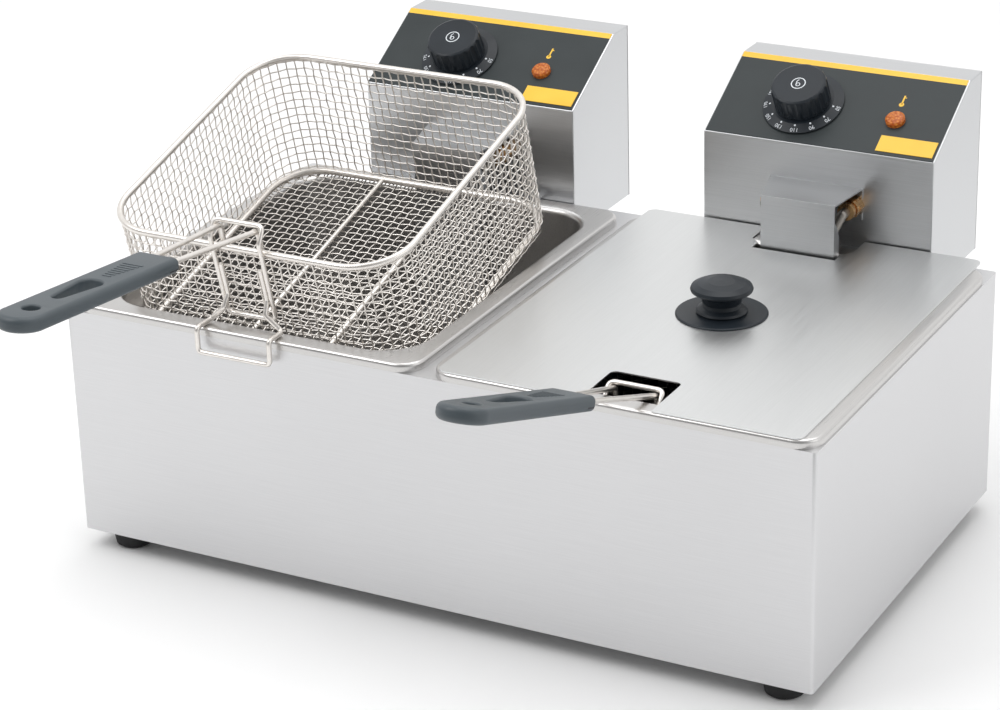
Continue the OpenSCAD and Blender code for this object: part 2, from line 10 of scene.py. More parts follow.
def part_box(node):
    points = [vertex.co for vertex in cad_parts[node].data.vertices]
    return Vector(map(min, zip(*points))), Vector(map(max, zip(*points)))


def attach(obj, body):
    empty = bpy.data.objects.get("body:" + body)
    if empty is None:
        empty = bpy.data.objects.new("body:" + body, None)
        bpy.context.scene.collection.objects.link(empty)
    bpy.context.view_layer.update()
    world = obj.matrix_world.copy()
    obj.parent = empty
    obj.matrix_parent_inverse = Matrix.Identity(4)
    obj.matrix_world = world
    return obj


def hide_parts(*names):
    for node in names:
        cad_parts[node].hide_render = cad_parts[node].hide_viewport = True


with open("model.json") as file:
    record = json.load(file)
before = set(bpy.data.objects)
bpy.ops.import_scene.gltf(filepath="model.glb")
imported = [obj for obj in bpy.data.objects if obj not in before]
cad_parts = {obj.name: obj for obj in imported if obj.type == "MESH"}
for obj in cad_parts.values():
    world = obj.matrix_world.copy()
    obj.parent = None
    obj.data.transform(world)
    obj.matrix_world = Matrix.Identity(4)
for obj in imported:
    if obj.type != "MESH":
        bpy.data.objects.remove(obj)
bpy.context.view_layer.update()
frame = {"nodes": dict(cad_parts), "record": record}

NODES = frame["nodes"]
SIDES = ("l", "r")

# ---- sizes in millimetres, from the part; x right, y back from the body's front, z up ----
BODY_H = 166.0
FLANGE_Z = 172.0
FLANGE_W, FLANGE_D, FLANGE_R = 267.0, 309.0, 16.0
WELL_W, WELL_D, WELL_R, WELL_H = 236.0, 277.0, 32.0, 150.0
SHEET = 1.2
TANK_X = {"l": -136.5, "r": 140.5}
BASKET_W, BASKET_L, BASKET_H, BASKET_R = 228.0, 229.0, 100.0, 40.0
RIM_D, WIRE_D, HANDLE_D = 4.5, 3.5, 3.8
HANG_TILT, HANG_Y, HANG_Z = 14.9, 117.0, 258.0
SEAT_Y, SEAT_Z = 138.0, 155.5
ENDS_Y, ENDS_Z = -(BASKET_L / 2 - 6.5), 14.0
RISE = {"l": 20.8, "r": 19.2}
REACH, GRIP_L, GRIP_W, GRIP_T = 91.0, 158.0, 32.0, 10.0
HEAD_Y, HEAD_FRONT = 323.0, 71.6
SLANT = math.atan2(38.7, 69.0)
KNOB_X, DIAL_S = -23.4, 36.5

SHELL_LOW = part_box("body_shell")[0]


# ---- frames: each turns a point in millimetres into the row frame in metres ----
def build_frame():
    return Matrix.Translation((0, SHELL_LOW[1], SHELL_LOW[2])) @ Matrix.Scale(0.001, 4)


def basket_frame(side):
    if side == "l":
        at, tilt = (TANK_X["l"] + 0.5, HANG_Y, HANG_Z), HANG_TILT
    else:
        at, tilt = (TANK_X["r"], SEAT_Y, SEAT_Z), 0.0
    return build_frame() @ Matrix.Translation(at) @ Matrix.Rotation(math.radians(tilt), 4, "X")


def handle_frame(side):
    return (basket_frame(side) @ Matrix.Translation((0, ENDS_Y, ENDS_Z))
            @ Matrix.Rotation(-math.radians(RISE[side]), 4, "X"))


def panel_frame(side):
    return (build_frame() @ Matrix.Translation((TANK_X[side], HEAD_Y, BODY_H + HEAD_FRONT))
            @ Matrix.Rotation(SLANT, 4, "X"))


def dial_frame(side):
    return panel_frame(side) @ Matrix.Translation((KNOB_X, DIAL_S, 0))


# ---- materials ----
class Look:
    """A node material, built up one node at a time."""

    def __init__(self, name, color, rough, metal=0.0, **sockets):
        self.mat = bpy.data.materials.new(name)
        self.mat.use_nodes = True
        self.nodes = self.mat.node_tree.nodes
        self.shader = self.nodes["Principled BSDF"]
        self.set(self.shader, "Base Color", (*color, 1.0))
        self.set(self.shader, "Roughness", rough)
        self.set(self.shader, "Metallic", metal)
        for key, value in sockets.items():
            self.set(self.shader, key.replace("_", " "), value)
        self.coords = self.nodes.new("ShaderNodeTexCoord").outputs["Object"]

    def set(self, node, socket, value):
        node.inputs[socket].default_value = value

    def link(self, a, b):
        self.mat.node_tree.links.new(a, b)

    def noise(self, stretch, scale=1.0, detail=4.0, rough=0.6):
        place = self.nodes.new("ShaderNodeMapping")
        place.inputs["Scale"].default_value = stretch
        self.link(self.coords, place.inputs["Vector"])
        tex = self.nodes.new("ShaderNodeTexNoise")
        tex.inputs["Scale"].default_value = scale
        tex.inputs["Detail"].default_value = detail
        tex.inputs["Roughness"].default_value = rough
        self.link(place.outputs["Vector"], tex.inputs["Vector"])
        return tex.outputs["Fac"]

    def ramp(self, fac, low, high, start=0.3, end=0.7):
        node = self.nodes.new("ShaderNodeMapRange")
        node.inputs["From Min"].default_value = start
        node.inputs["From Max"].default_value = end
        node.inputs["To Min"].default_value = low
        node.inputs["To Max"].default_value = high
        self.link(fac, node.inputs["Value"])
        return node.outputs["Result"]

    def tint(self, fac, dark, light, start=0.35, end=0.65):
        node = self.nodes.new("ShaderNodeValToRGB")
        node.color_ramp.elements[0].position = start
        node.color_ramp.elements[1].position = end
        node.color_ramp.elements[0].color = (*dark, 1.0)
        node.color_ramp.elements[1].color = (*light, 1.0)
        self.link(fac, node.inputs["Fac"])
        self.link(node.outputs["Color"], self.shader.inputs["Base Color"])

    def bump(self, fac, strength, distance):
        node = self.nodes.new("ShaderNodeBump")
        node.inputs["Strength"].default_value = strength
        node.inputs["Distance"].default_value = distance
        self.link(fac, node.inputs["Height"])
        self.link(node.outputs["Normal"], self.shader.inputs["Normal"])


def brushed(name, light, dark, rough, grain):
    """Brushed sheet: fine long scratches along the axis where grain is smallest."""
    look = Look(name, light, rough, 1.0)
    fine = look.noise(grain, 1.0, 6.0, 0.7)
    broad = look.noise((3.0, 3.0, 3.0), 1.0, 2.0, 0.5)
    look.link(look.ramp(fine, rough - 0.04, rough + 0.05), look.shader.inputs["Roughness"])
    mixed = look.nodes.new("ShaderNodeMix")
    mixed.inputs["Factor"].default_value = 0.35
    look.link(fine, mixed.inputs["A"])
    look.link(broad, mixed.inputs["B"])
    look.tint(mixed.outputs["Result"], dark, light)
    look.bump(fine, 0.05, 0.0001)
    return look.mat


def moulded(name, color, light, rough, grain=900.0, strength=0.25, sheen=0.5):
    look = Look(name, color, rough, Specular_IOR_Level=sheen)
    fine = look.noise((grain, grain, grain), 1.0, 3.0)
    broad = look.noise((25.0, 25.0, 25.0), 1.0, 2.0)
    look.tint(broad, color, light)
    look.link(look.ramp(broad, rough - 0.04, rough + 0.06), look.shader.inputs["Roughness"])
    look.bump(fine, strength, 0.0001)
    return look.mat


ALONG_X = (22.0, 1500.0, 1500.0)
ALONG_Y = (1500.0, 22.0, 1500.0)
MATS = {
    "body_steel": brushed("body_steel", (0.70, 0.70, 0.708), (0.64, 0.64, 0.648), 0.40, ALONG_X),
    # the head's steel is the body's steel with a darker base colour: painted shade standing in for
    # the darker reflection on the head's front faces
    "shaded_head_steel": brushed("shaded_head_steel", (0.64, 0.648, 0.658), (0.57, 0.578, 0.588), 0.33, ALONG_X),
    "plain_steel": brushed("plain_steel", (0.58, 0.58, 0.585), (0.48, 0.48, 0.485), 0.38, ALONG_X),
    "tank_steel": brushed("tank_steel", (0.66, 0.65, 0.64), (0.56, 0.55, 0.54), 0.30, ALONG_Y),
    "lid_steel": brushed("lid_steel", (0.74, 0.748, 0.748), (0.68, 0.688, 0.688), 0.36, ALONG_Y),
    "element_sheath": brushed("element_sheath", (0.36, 0.34, 0.31), (0.26, 0.24, 0.22), 0.42,
                              ALONG_Y),
    "nickel_wire": brushed("nickel_wire", (0.86, 0.83, 0.79), (0.76, 0.72, 0.68), 0.33,
                           (220.0, 220.0, 220.0)),
    "brass": brushed("brass", (0.78, 0.50, 0.25), (0.62, 0.36, 0.16), 0.28, (160.0, 40.0, 160.0)),
    "grip_plastic": moulded("grip_plastic", (0.052, 0.067, 0.077), (0.064, 0.080, 0.091), 0.42),
    "knob_plastic": moulded("knob_plastic", (0.010, 0.014, 0.019), (0.016, 0.022, 0.029), 0.38,
                            1200.0, 0.15, 0.32),
    "switch_plastic": moulded("switch_plastic", (0.015, 0.015, 0.016), (0.024, 0.024, 0.026), 0.45),
    "ceramic_body": moulded("ceramic_body", (0.52, 0.47, 0.38), (0.60, 0.55, 0.45), 0.60),
    "rubber": moulded("rubber", (0.010, 0.010, 0.011), (0.018, 0.018, 0.019), 0.75, 700.0, 0.4),
    "panel_film": moulded("panel_film", (0.032, 0.039, 0.041), (0.038, 0.046, 0.048), 0.40,
                          1500.0, 0.05, 0.26),
    "yellow_film": moulded("yellow_film", (0.90, 0.53, 0.035), (0.94, 0.58, 0.050), 0.36,
                           1500.0, 0.05),
    "white_print": moulded("white_print", (0.74, 0.78, 0.82), (0.80, 0.84, 0.88), 0.5, 1500.0, 0.05),
}


def amber():
    look = Look("amber_lens", (0.78, 0.20, 0.012), 0.22, Transmission_Weight=0.2,
                Specular_IOR_Level=0.3)
    cells = look.nodes.new("ShaderNodeTexVoronoi")
    cells.inputs["Scale"].default_value = 520.0
    look.link(look.coords, cells.inputs["Vector"])
    look.tint(cells.outputs["Distance"], (0.86, 0.30, 0.05), (0.50, 0.10, 0.01), 0.05, 0.75)
    look.bump(cells.outputs["Distance"], 0.5, 0.0006)
    return look.mat


MATS["amber_lens"] = amber()


# ---- mesh helpers ----
def add_mesh(name, verts, faces, matrix, slot, look=None, smooth=40.0):
    mesh = bpy.data.meshes.new(name)
    mesh.from_pydata([matrix @ Vector(v) for v in verts], [], faces)
    mesh.materials.append(MATS[look or slot])
    work = bmesh.new()
    work.from_mesh(mesh)
    bmesh.ops.recalc_face_normals(work, faces=work.faces)
    for edge in work.edges:
        bend = edge.calc_face_angle(0.0)
        edge.smooth = bend < math.radians(smooth)
    for face in work.faces:
        face.smooth = True
    work.to_mesh(mesh)
    work.free()
    obj = bpy.data.objects.new(name, mesh)
    bpy.context.scene.collection.objects.link(obj)
    return obj


def fillet(points, radius, closed=False, steps=7):
    """The polyline with each corner turned into an arc of about that radius."""
    pts = [Vector(p) for p in points]
    n = len(pts)
    out = []
    for i, p in enumerate(pts):
        if not closed and i in (0, n - 1):
            out.append(p)
            continue
        a, b = (pts[i - 1] - p), (pts[(i + 1) % n] - p)
        angle = a.angle(b)
        if angle > math.radians(176):
            out.append(p)
            continue
        cut = min(radius / math.tan(angle / 2), 0.45 * a.length, 0.45 * b.length)
        start, end = p + a.normalized() * cut, p + b.normalized() * cut
        for k in range(steps + 1):
            t = k / steps
            out.append(start * (1 - t) ** 2 + p * 2 * t * (1 - t) + end * t * t)
    return out


def sweep(paths, radius, sides, closed=False):
    """Round tubes along the paths, with capped ends, as vertices and faces."""
    verts, faces = [], []
    for path in paths:
        pts = [Vector(p) for p in path]
        n = len(pts)
        base = len(verts)
        up = None
        for i, p in enumerate(pts):
            before = pts[i - 1] if closed or i > 0 else p
            after = pts[(i + 1) % n] if closed or i < n - 1 else p
            along = (after - before).normalized()
            if up is None:
                up = along.orthogonal().normalized()
            up = (up - along * up.dot(along)).normalized()
            side = along.cross(up)
            for k in range(sides):
                turn = 2 * math.pi * k / sides
                verts.append(p + (up * math.cos(turn) + side * math.sin(turn)) * radius)
        for i in range(n if closed else n - 1):
            a, b = base + i * sides, base + ((i + 1) % n) * sides
            for k in range(sides):
                m = (k + 1) % sides
                faces.append((a + k, a + m, b + m, b + k))
        if not closed:
            faces.append(tuple(base + k for k in reversed(range(sides))))
            faces.append(tuple(base + (n - 1) * sides + k for k in range(sides)))
    return verts, faces


def joined(*parts):
    verts, faces = [], []
    for more_verts, more_faces in parts:
        base = len(verts)
        verts += more_verts
        faces += [tuple(base + i for i in f) for f in more_faces]
    return verts, faces


def rounded(w, d, r, steps=10):
    """Corner points of a rounded rectangle, counter-clockwise."""
    out = []
    for q, (sx, sy) in enumerate(((1, 1), (-1, 1), (-1, -1), (1, -1))):
        for k in range(steps + 1):
            turn = math.radians(90 * (q + k / steps))
            out.append((sx * (w / 2 - r) + r * math.cos(turn),
                        sy * (d / 2 - r) + r * math.sin(turn)))
    return out


def loft(loops, closed=False, cap_start=False, cap_end=False):
    n = len(loops[0])
    verts = [v for loop in loops for v in loop]
    faces = []
    for i in range(len(loops) if closed else len(loops) - 1):
        a, b = i * n, ((i + 1) % len(loops)) * n
        faces += [(a + k, a + (k + 1) % n, b + (k + 1) % n, b + k) for k in range(n)]
    if cap_start:
        faces.append(tuple(range(n)))
    if cap_end:
        faces.append(tuple((len(loops) - 1) * n + k for k in range(n)))
    return verts, faces


# ---- woven wire cloth ----
PITCH = 6.5
CLOTH_WIRE = 0.52
CRIMP = 0.55


def along_loop(w, d, r, count):
    """Evenly spaced (point, outward normal) round a rounded rectangle."""
    ring = [Vector((*p, 0)) for p in rounded(w, d, r, 24)]
    lengths = [0.0]
    for a, b in zip(ring, ring[1:] + ring[:1]):
        lengths.append(lengths[-1] + (b - a).length)
    out, i = [], 0
    for k in range(count):
        want = lengths[-1] * k / count
        while lengths[i + 1] < want:
            i += 1
        a, b = ring[i], ring[(i + 1) % len(ring)]
        p = a.lerp(b, (want - lengths[i]) / max(lengths[i + 1] - lengths[i], 1e-9))
        t = (b - a).normalized()
        out.append((p, Vector((t.y, -t.x, 0))))
    return out


def basket_cloth():
    """Crimped over-and-under wires for the walls and the bottom, in the basket's frame."""
    w, l = BASKET_W - RIM_D, BASKET_L - RIM_D
    r = BASKET_R - RIM_D / 2
    around = 2 * round((2 * (w + l) - (8 - 2 * math.pi) * r) / PITCH / 2)
    rows = int((BASKET_H - 6) / PITCH)
    stops = along_loop(w, l, r, around * 2)
    paths = []
    low = -BASKET_H + 6.0
    for k in range(around):
        p, n = stops[2 * k]
        path = [p + Vector((0, 0, -0.5))]
        for j in range(rows, -1, -1):
            swing = CRIMP if (j + k) % 2 else -CRIMP
            path.append(p + n * swing + Vector((0, 0, low + j * PITCH)))
        # turned in under the base ring to meet the bottom
        path.append(p - n * 1.6 + Vector((0, 0, -BASKET_H + 2.2)))
        path.append(p - n * 6.0 + Vector((0, 0, -BASKET_H + 0.9)))
        paths.append(path)
    rings = []
    for j in range(rows + 1):
        ring = []
        for k in range(around * 2):
            p, n = stops[k]
            swing = 0.0 if k % 2 else (-CRIMP if (j + k // 2) % 2 else CRIMP)
            ring.append(p + n * swing + Vector((0, 0, low + j * PITCH)))
        rings.append(ring)
    for axis, span, cross in ((0, w, l), (1, l, w)):
        lines = int(span / 2 / PITCH)
        for i in range(-lines, lines + 1):
            at = i * PITCH
            inset = max(0.0, abs(at) - (span / 2 - r))
            half = cross / 2 - r + math.sqrt(max(r * r - inset * inset, 0.0)) - 1.2
            count = int(half / PITCH)
            path = []
            for j in range(-count, count + 1):
                swing = CRIMP if (i + j + axis) % 2 else -CRIMP
                other = j * PITCH
                path.append((at, other) if axis == 0 else (other, at))
                path[-1] = Vector((*path[-1], -BASKET_H + 1.1 + swing))
            for sign, where in ((-1, 0), (1, len(path))):
                end = sign * half
                tip = (at, end) if axis == 0 else (end, at)
                path.insert(where, Vector((*tip, -BASKET_H + 1.4)))
            paths.append(path)
    return joined(sweep(paths, CLOTH_WIRE, 5), sweep(rings, CLOTH_WIRE, 5, closed=True))


def basket_wires():
    """Rim, base ring, runners and the front bracket with its crossbar."""
    w, l, r = BASKET_W - RIM_D, BASKET_L - RIM_D, BASKET_R - RIM_D / 2
    rim = [(*p, 0) for p in rounded(w, l, r, 16)]
    base = [(*p, -BASKET_H + 4) for p in rounded(w - 6.4, l - 6.4, r - 3.2, 14)]
    runners = [[(s * 31, -(l - 6.4) / 2, -BASKET_H + 4.2), (s * 31, (l - 6.4) / 2, -BASKET_H + 4.2)]
               for s in (-1, 1)]
    leg_y = -(BASKET_L / 2 + WIRE_D / 2 - 0.5)
    bar_y, bar_z = ENDS_Y + 1.2, ENDS_Z + 3.55
    leg = 18.8
    bracket = fillet([(-leg, leg_y, -52), (-leg, leg_y, 9), (-leg, bar_y, bar_z),
                      (leg, bar_y, bar_z), (leg, leg_y, 9), (leg, leg_y, -52)],
                     4.5, closed=True)
    return joined(sweep([rim], RIM_D / 2, 14, True), sweep([base], 2.5, 10, True),
                  sweep(runners, WIRE_D / 2, 10), sweep([bracket], WIRE_D / 2, 10, True))


def hung_point(y, z):
    c, s = math.cos(math.radians(HANG_TILT)), math.sin(math.radians(HANG_TILT))
    return HANG_Y + y * c - z * s, HANG_Z + y * s + z * c


def drain_hook():
    leg_y = -(BASKET_L / 2 + WIRE_D / 2 - 0.5)
    top, low = hung_point(leg_y, -12), hung_point(leg_y, -36)
    step = (low[0] - 5, low[1] - 9)
    over, down, side = FLANGE_Z + WIRE_D / 2 + 0.4, BODY_H - 9, 28
    half = [(15.2, *top), (15.2, *low), (16.2, *step), (side, 11, over), (side, -6.5, over),
            (side, -6.5, down)]
    points = [(-x, y, z) for x, y, z in half] + [tuple(p) for p in reversed(half)]
    return sweep([fillet(points, 3.6)], WIRE_D / 2, 10)


def handle_wires():
    drop, into = 19.0, REACH + 22
    rise = math.radians(RISE["l"])
    paths = [fillet([(s * 7.5, -into, 0), (s * 8.5, -REACH + 4, 0), (s * 14.5, 0, 0),
                     (s * 14.5, drop * math.sin(rise), -drop * math.cos(rise))], 3.5)
             for s in (-1, 1)]
    return sweep(paths, HANDLE_D / 2, 12)


def place_wires():
    cloth, wires, handles = basket_cloth(), basket_wires(), handle_wires()
    for side in SIDES:
        at, body = basket_frame(side), "basket_" + side
        for name, shape, matrix, node in (
                ("woven_basket", cloth, at, "basket_mesh_"),
                ("basket_wirework", wires, at, "basket_frame_"),
                ("handle_rods", handles, handle_frame(side), "handle_wires_")):
            obj = add_mesh(name + "_" + side, *shape, matrix, "nickel_wire", smooth=80)
            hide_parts(node + side)
            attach(obj, body)
    shift = build_frame() @ Matrix.Translation((TANK_X["l"] + 0.5, 0, 0))
    hook = add_mesh("drain_hook", *drain_hook(), shift, "nickel_wire", smooth=80)
    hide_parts("drain_hook_l")
    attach(hook, "basket_l")


# ---- moulded grips ----
def offset_loop(loop, amount):
    """Moves an outline towards the material by amount: outer loops shrink, holes grow."""
    out = []
    for i, p in enumerate(loop):
        t = (Vector(loop[(i + 1) % len(loop)]) - Vector(loop[i - 1])).normalized()
        out.append((p[0] - t.y * amount, p[1] + t.x * amount))
    return out


def arc(cx, cy, r, start, end, steps):
    return [(cx + r * math.cos(math.radians(start + (end - start) * k / steps)),
             cy + r * math.sin(math.radians(start + (end - start) * k / steps)))
            for k in range(steps + 1)]


def spread(loop, gap):
    """The outline with points added so that none are further apart than gap."""
    out = []
    for a, b in zip(loop, loop[1:] + loop[:1]):
        count = max(1, round(math.dist(a, b) / gap))
        out += [(a[0] + (b[0] - a[0]) * k / count, a[1] + (b[1] - a[1]) * k / count)
                for k in range(count)]
    return out


# radius of the rolled edges of the moulded grip
OUTER_EDGE, HOLE_EDGE, SLOT_EDGE = 3.8, 1.5, 1.8


def grip_shape():
    """A flat bar with every edge rolled over, a hanging hole and a tapered finger slot."""
    tip, r, t = -(REACH + GRIP_L), GRIP_W / 2, GRIP_T / 2
    near = -REACH
    outer = (arc(0, tip + r, r, 180, 360, 40)
             + arc(r - 4, near - 4, 4, 0, 90, 8) + arc(-r + 4, near - 4, 4, 90, 180, 8))
    hole = list(reversed(arc(0, tip + 24, 5.5, 0, 350, 28)))
    slot = list(reversed(arc(0, tip + 83, 8.0, -8, 188, 32)
                         + arc(0, tip + 50.5, 3.5, 188, 352, 14)))
    verts, faces, flats = [], [], []
    for loop, edge in ((spread(outer, 4), OUTER_EDGE), (spread(hole, 4), HOLE_EDGE),
                       (spread(slot, 4), SLOT_EDGE)):
        n, base = len(loop), len(verts)
        rows = []
        for k in range(9):
            turn = math.radians(90 * k / 8)
            rows.append((edge * (1 - math.cos(turn)), t - edge + edge * math.sin(turn)))
        rows = [(o, -z) for o, z in reversed(rows)] + rows
        for o, z in rows:
            verts += [(x, y, z) for x, y in offset_loop(loop, o)]
        for i in range(len(rows) - 1):
            a, b = base + i * n, base + (i + 1) * n
            faces += [(a + k, a + (k + 1) % n, b + (k + 1) % n, b + k) for k in range(n)]
        flats.append((base, base + (len(rows) - 1) * n, n))
    for which in (0, 1):
        loops = [[Vector(verts[f[which] + k]) for k in range(f[2])] for f in flats]
        index = [f[which] + k for f in flats for k in range(f[2])]
        faces += [tuple(index[i] for i in tri) for tri in tessellate_polygon(loops)]
    return verts, faces


def bar(x0, x1, y0, y1, z0, z1):
    verts = [(x, y, z) for x in (x0, x1) for y in (y0, y1) for z in (z0, z1)]
    return verts, [(0, 1, 3, 2), (4, 6, 7, 5), (0, 4, 5, 1), (2, 3, 7, 6), (0, 2, 6, 4),
                   (1, 5, 7, 3)]


def grip_ribs():
    return joined(*[bar(-3 - 0.6 * k, 3 + 0.6 * k, -REACH - 58 + 4 * k, -REACH - 56.4 + 4 * k,
                        GRIP_T / 2 - 0.4, GRIP_T / 2 + 0.28) for k in range(8)])


def grip_seam():
    """The dark line where the moulding splits round the wires."""
    r, z = GRIP_W / 2 + 0.04, -GRIP_T / 2 + 2.6
    return joined(bar(-r, r, -REACH - 12, -REACH - 3.8, z, z + 0.8),
                  bar(-r + 3.6, r - 3.6, -REACH - 6, -REACH + 0.05, z, z + 0.8))


def grips():
    for side in SIDES:
        at = handle_frame(side)
        grip = add_mesh("moulded_grip_" + side, *grip_shape(), at, "grip_plastic", smooth=35)
        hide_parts("handle_grip_" + side)
        ribs = add_mesh("grip_ribs_" + side, *grip_ribs(), at, "grip_plastic")
        seam = add_mesh("grip_seam_" + side, *grip_seam(), at, "switch_plastic")
        for piece in (grip, ribs, seam):
            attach(piece, "basket_" + side)


# ---- pressed tanks ----
def tank_shape(cx):
    def ring(w, d, r, z):
        return [(cx + x, FLANGE_D / 2 + y, z) for x, y in rounded(w, d, r, 12)]

    lip_r, draw_r, floor_r = 2.6, 4.0, 12.0
    outer, inner = [], []
    outer.append((0.0, BODY_H + 0.02))
    for k in range(6):
        turn = math.radians(90 * k / 5)
        outer.append((-lip_r + lip_r * math.cos(turn), FLANGE_Z - lip_r + lip_r * math.sin(turn)))
    loops = [ring(FLANGE_W + 2 * o, FLANGE_D + 2 * o, FLANGE_R + o, z) for o, z in outer]
    for k in range(6):
        turn = math.radians(90 * k / 5)
        inner.append((draw_r * (1 - math.sin(turn)), FLANGE_Z - draw_r * (1 - math.cos(turn))))
    floor = FLANGE_Z - WELL_H
    for k in range(7):
        turn = math.radians(90 * k / 6)
        inner.append((-floor_r * (1 - math.cos(turn)), floor + floor_r * (1 - math.sin(turn))))
    loops += [ring(WELL_W + 2 * o, WELL_D + 2 * o, WELL_R + o, z) for o, z in inner]
    # back along the underside
    under = [(-floor_r * (1 - math.cos(math.radians(90 * k / 4))) + SHEET * 0.9,
              floor - SHEET + (floor_r + SHEET) * (1 - math.sin(math.radians(90 * k / 4))))
             for k in (4, 3, 2, 1, 0)]
    under += [(SHEET, FLANGE_Z - draw_r - SHEET)]
    loops += [ring(WELL_W + 2 * o, WELL_D + 2 * o, WELL_R + o, z) for o, z in under]
    loops.append(ring(FLANGE_W - 2 * SHEET - 2, FLANGE_D - 2 * SHEET - 2, FLANGE_R - SHEET - 1,
                      FLANGE_Z - SHEET))
    loops.append(ring(FLANGE_W - 2 * SHEET, FLANGE_D - 2 * SHEET, FLANGE_R - SHEET, BODY_H + 0.02))
    verts, faces = loft(loops, closed=True)
    n = len(loops[0])
    floor_loop = len(outer) + len(inner) - 1
    faces = [f for f in faces if not (min(f) // n == floor_loop and max(f) // n == floor_loop + 1)]
    faces.append(tuple(floor_loop * n + k for k in range(n)))
    faces.append(tuple((floor_loop + 1) * n + k for k in range(n)))
    return verts, faces


def place_tanks():
    for side in SIDES:
        obj = add_mesh("pressed_tank_" + side, *tank_shape(TANK_X[side]), build_frame(),
                       "tank_steel", smooth=50)
        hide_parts("tank_" + side)
        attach(obj, "tank_" + side + "_body")


# ---- carried-over CAD nodes: finish, painted shade on the head and softened edges ----
def soften(obj, width, segments=2, angle=30):
    weld = obj.modifiers.new("weld", "WELD")
    weld.merge_threshold = 0.00002
    bevel = obj.modifiers.new("edge", "BEVEL")
    bevel.width = width
    bevel.segments = segments
    bevel.limit_method = "ANGLE"
    bevel.angle_limit = math.radians(angle)
    bevel.use_clamp_overlap = True
    bevel.harden_normals = False


def finish_and_shade_nodes():
    slots = {s["node"]: s["material_slot"] for s in frame["record"]["subparts"]}
    # the head housing, element cover and hanger get the darker copy of the steel: painted shade for
    # their darker front faces
    painted_shade_parts = {"head_housing": "shaded_head_steel", "element_cover": "shaded_head_steel",
               "head_hanger": "shaded_head_steel"}
    for name, obj in NODES.items():
        base = name[:-2] if name[-2:] in ("_l", "_r") else name
        look = MATS[painted_shade_parts.get(base, slots[name])]
        obj.data.materials.clear()
        obj.data.materials.append(look)
    for name, width in (("body_shell", 0.0012), ("lid_plate", 0.0003), ("lid_disc", 0.0003)):
        soften(NODES[name], width)
    for side in SIDES:
        for base, width in (("head_housing", 0.0009), ("element_cover", 0.0005),
                            ("knob", 0.0007), ("element_nuts", 0.0003), ("head_back", 0.0003),
                            ("cable_gland", 0.0005)):
            soften(NODES[base + "_" + side], width)


# ---- print on the dial and the panel ----
def flat_text(text, size):
    curve = bpy.data.curves.new("digits", "FONT")
    curve.body = text
    curve.size = size
    curve.align_x, curve.align_y = "CENTER", "CENTER"
    curve.resolution_u = 3
    holder = bpy.data.objects.new("digits", curve)
    mesh = bpy.data.meshes.new_from_object(holder)
    verts = [tuple(v.co) for v in mesh.vertices]
    faces = [tuple(p.vertices) for p in mesh.polygons]
    bpy.data.objects.remove(holder)
    bpy.data.meshes.remove(mesh)
    bpy.data.curves.remove(curve)
    return verts, faces


def disc(cx, cy, r, z, steps=20):
    verts = [(cx + r * math.cos(2 * math.pi * k / steps), cy + r * math.sin(2 * math.pi * k / steps),
              z) for k in range(steps)]
    return verts, [tuple(range(steps))]


def band(r0, r1, z, start=0.0, end=360.0, steps=48, cx=0.0, cy=0.0):
    verts, faces = [], []
    for k in range(steps + 1):
        turn = math.radians(start + (end - start) * k / steps)
        for r in (r0, r1):
            verts.append((cx + r * math.cos(turn), cy + r * math.sin(turn), z))
    faces = [(2 * k, 2 * k + 1, 2 * k + 3, 2 * k + 2) for k in range(steps)]
    return verts, faces


def quad(x0, y0, x1, y1, z):
    return [(x0, y0, z), (x1, y0, z), (x1, y1, z), (x0, y1, z)], [(0, 1, 2, 3)]


SKIRT_IN, SKIRT_OUT = (22.5, 4.3), (29.2, 2.0)
FRONT_LABEL_TURN, LABEL_STEP = 6.5, 26.7
LABEL_R, DOT_R = 26.8, 23.6
CAP_TOP, PANEL_TOP = 21.8, 0.6
PRINT_LIFT = 0.05


def on_skirt(shape, turn_deg, radius):
    """Lays a flat shape, drawn upright at the origin, on the skirt's sloping face."""
    fall = math.atan2(SKIRT_IN[1] - SKIRT_OUT[1], SKIRT_OUT[0] - SKIRT_IN[0])
    height = SKIRT_IN[1] - (radius - SKIRT_IN[0]) * math.tan(fall) + PRINT_LIFT
    matrix = (Matrix.Rotation(math.radians(turn_deg), 4, "Z")
              @ Matrix.Translation((0, -radius, height))
              @ Matrix.Rotation(fall, 4, "X"))
    verts, faces = shape
    return [tuple(matrix @ Vector(v)) for v in verts], faces


def dial_print():
    parts = []
    # the numbers' tops face outwards, so they read from behind the knob
    for i, label in enumerate(("190", "170", "150", "130", "110", "90", "70", "50")):
        turn = FRONT_LABEL_TURN + (i - 4) * LABEL_STEP
        verts, faces = flat_text(label, 4.1)
        parts.append(on_skirt(([(-v[0], -v[1], v[2]) for v in verts], faces), turn, LABEL_R))
        parts.append(on_skirt(disc(0, 0, 0.75, 0), turn, DOT_R))
    # ring symbol on the cap: a circle round a small flame
    top = CAP_TOP + PRINT_LIFT
    parts.append(band(4.6, 5.3, top))
    parts.append(band(1.2, 1.75, top, 0, 360, 24, 0, -1.1))
    parts.append(band(2.4, 2.95, top, 120, 235, 16, 1.0, 1.0))
    return joined(*parts)


def panel_icon():
    """A small thermometer: bulb, stem and one side tick."""
    z = PANEL_TOP + PRINT_LIFT
    cx, cy = 46.0, 48.0
    return joined(disc(cx, cy, 1.9, z), quad(cx - 0.6, cy, cx + 0.6, cy + 8.6, z),
                  quad(cx + 0.6, cy + 6.3, cx + 1.9, cy + 7.0, z))


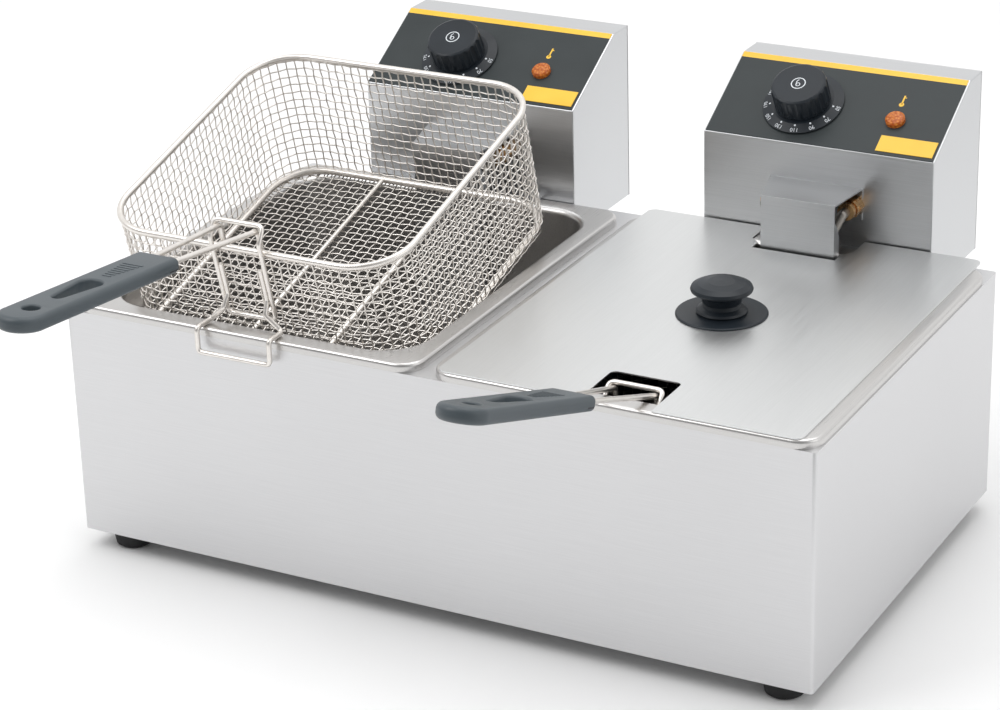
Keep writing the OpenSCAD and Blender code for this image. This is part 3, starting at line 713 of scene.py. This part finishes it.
def place_print():
    for side in SIDES:
        marks = add_mesh("dial_marks_" + side, *dial_print(), dial_frame(side), "knob_plastic",
                         "white_print")
        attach(marks, "dial_" + side)
        icon = add_mesh("panel_icon_" + side, *panel_icon(), panel_frame(side), "yellow_film")
        # a small white spot on the panel, 10.6 to 12 mm left of the knob's centre and behind its
        # skirt
        mark = add_mesh("panel_white_spot_" + side, *quad(KNOB_X - 12, 71.3, KNOB_X - 10.6, 73.3,
                                                    PANEL_TOP + PRINT_LIFT),
                        panel_frame(side), "panel_film", "white_print")
        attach(icon, "head_" + side)
        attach(mark, "head_" + side)


# ---- stage ----
FLOOR_SIZE = 40


def stage():
    bpy.ops.mesh.primitive_plane_add(size=FLOOR_SIZE, location=(0, 0, 0))
    floor = bpy.context.object
    floor.name = "floor"
    look = Look("floor", (0.93, 0.93, 0.93), 0.8)
    look.tint(look.noise((2.0, 2.0, 2.0)), (0.925, 0.925, 0.925), (0.94, 0.94, 0.94))
    floor.data.materials.append(look.mat)


def area_light(name, at, aim, size, power):
    data = bpy.data.lights.new(name, "AREA")
    data.shape = "RECTANGLE"
    data.size, data.size_y = size
    data.energy = power
    light = bpy.data.objects.new(name, data)
    light.location = at
    light.rotation_euler = (Vector(aim) - Vector(at)).to_track_quat("-Z", "Y").to_euler()
    bpy.context.scene.collection.objects.link(light)


def lights():
    scene = bpy.context.scene
    scene.view_settings.view_transform = "Standard"
    world = bpy.data.worlds.new("studio")
    scene.world = world
    world.use_nodes = True
    nodes, links = world.node_tree.nodes, world.node_tree.links
    coords = nodes.new("ShaderNodeTexCoord")
    split = nodes.new("ShaderNodeSeparateXYZ")
    links.new(coords.outputs["Generated"], split.inputs["Vector"])
    # a studio with a dark side in front and a bright backdrop
    fade = nodes.new("ShaderNodeMapRange")
    fade.interpolation_type = "SMOOTHSTEP"
    for socket, value in (("From Min", -0.95), ("From Max", 0.25), ("To Min", 0.30),
                          ("To Max", 1.0)):
        fade.inputs[socket].default_value = value
    links.new(split.outputs["Y"], fade.inputs["Value"])
    links.new(fade.outputs["Result"], nodes["Background"].inputs["Strength"])
    nodes["Background"].inputs["Color"].default_value = (1, 1, 1, 1)
    area_light("key", (-1.3, -1.1, 2.1), (0, 0, 0.12), (1.6, 1.2), 22)
    area_light("side", (2.2, -0.2, 1.1), (0, 0.1, 0.12), (1.2, 1.2), 3)
    area_light("top", (0.1, 0.5, 2.3), (0, 0.05, 0.1), (1.8, 1.6), 16)


# Camera: eye in millimetres in the part's frame, then yaw, pitch and roll in degrees
EYE = (889.43, -1515.68, 937.45)
YAW, PITCH_DOWN, ROLL = 28.673, 23.337, 1.674
LENS = 107.83


def camera():
    yaw, pitch, roll = (math.radians(a) for a in (YAW, PITCH_DOWN, ROLL))
    ahead = Vector((-math.sin(yaw) * math.cos(pitch), math.cos(yaw) * math.cos(pitch),
                    -math.sin(pitch)))
    right = Vector((math.cos(yaw), math.sin(yaw), 0))
    down = ahead.cross(right)
    right, down = (right * math.cos(roll) + down * math.sin(roll),
                   down * math.cos(roll) - right * math.sin(roll))
    data = bpy.data.cameras.new("camera")
    data.lens, data.sensor_width, data.sensor_fit = LENS, 36.0, "HORIZONTAL"
    data.clip_start, data.clip_end = 0.05, 50
    cam = bpy.data.objects.new("camera", data)
    eye = build_frame() @ Vector(EYE)
    turn = Matrix((right, -down, -ahead)).transposed().to_4x4()
    cam.matrix_world = Matrix.Translation(eye) @ turn
    bpy.context.scene.collection.objects.link(cam)
    bpy.context.scene.camera = cam


camera()
lights()
stage()
finish_and_shade_nodes()
grips()
place_tanks()
place_wires()
place_print()
